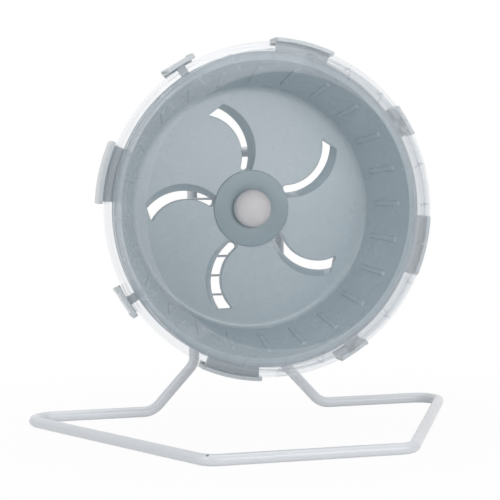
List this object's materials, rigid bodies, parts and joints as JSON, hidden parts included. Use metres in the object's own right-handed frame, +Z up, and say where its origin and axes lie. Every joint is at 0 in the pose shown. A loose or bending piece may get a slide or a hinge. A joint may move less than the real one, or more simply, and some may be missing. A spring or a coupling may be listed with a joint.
{
  "type": "rodent exercise wheel",
  "caption": "Drum running wheel with a clipped clear guard ring, on ball bearings, carried by a bent-rod floor stand with a height-adjustable clamp.",
  "frame": {"origin": "on the floor, in the middle of the base's outline", "axes": "+X right seen from the wheel's open side, +Y to the rear along the axle, +Z up"},
  "size_m": [0.2902, 0.1924, 0.2502],
  "materials": {
    "drum_plastic": "gloss moulded",
    "clip_plastic": "gloss moulded",
    "clear_plastic": "clear polished",
    "cap_plastic": "matte",
    "coated_rod": "satin coating",
    "bracket_plastic": "gloss moulded",
    "bearing_steel": "ground",
    "cage_plastic": "moulded",
    "fastener_steel": "zinc plated"
  },
  "bodies": {
    "stand": {"stand_frame": "coated_rod", "cross_rungs": "coated_rod", "axle_bracket": "bracket_plastic", "axle": "fastener_steel", "front_bearing_inner_race": "bearing_steel", "rear_bearing_inner_race": "bearing_steel", "bearing_spacer": "fastener_steel", "axle_sleeve": "fastener_steel", "axle_nut": "fastener_steel", "axle_washer": "fastener_steel"},
    "wheel": {"wheel_dish": "drum_plastic", "clear_ring": "clear_plastic", "hub_cap": "cap_plastic", "long_clip_1": "clip_plastic", "long_clip_2": "clip_plastic", "long_clip_3": "clip_plastic", "long_clip_4": "clip_plastic", "short_latch_1": "clip_plastic", "short_latch_2": "clip_plastic", "short_latch_3": "clip_plastic", "short_latch_4": "clip_plastic", "front_bearing_outer_race": "bearing_steel", "front_bearing_shields": "bearing_steel", "rear_bearing_outer_race": "bearing_steel", "rear_bearing_shields": "bearing_steel"},
    "front_ball_train": {"front_bearing_balls": "bearing_steel", "front_bearing_cage": "cage_plastic"},
    "rear_ball_train": {"rear_bearing_balls": "bearing_steel", "rear_bearing_cage": "cage_plastic"},
    "clamp": {"clamp_plate": "bracket_plastic", "clamp_washer": "fastener_steel"},
    "knob": {"clamp_knob": "bracket_plastic"}
  },
  "joints": [
    {"name": "wheel_spin", "type": "hinge", "parent": "stand", "child": "wheel", "pos_m": [0, 0.04125, 0.142], "axis": [0, 1, 0], "continuous": true},
    {"name": "front_balls_orbit", "type": "hinge", "parent": "stand", "child": "front_ball_train", "pos_m": [0, 0.04125, 0.142], "axis": [0, 1, 0], "continuous": true},
    {"name": "rear_balls_orbit", "type": "hinge", "parent": "stand", "child": "rear_ball_train", "pos_m": [0, 0.04125, 0.142], "axis": [0, 1, 0], "continuous": true},
    {"name": "clamp_slide", "type": "slide", "parent": "stand", "child": "clamp", "axis": [0, 1, 0], "range_m": [0, 0.0025]},
    {"name": "knob_turn", "type": "hinge", "parent": "clamp", "child": "knob", "pos_m": [0, 0.04125, 0.142], "axis": [0, 1, 0], "range_deg": [0, 720]}
  ],
  "couplings": [
    {"joint": "front_balls_orbit", "follows": "wheel_spin", "ratio": 0.6323},
    {"joint": "rear_balls_orbit", "follows": "wheel_spin", "ratio": 0.6323},
    {"joint": "clamp_slide", "follows": "knob_turn", "m_per_rad": 0.0001989}
  ]
}
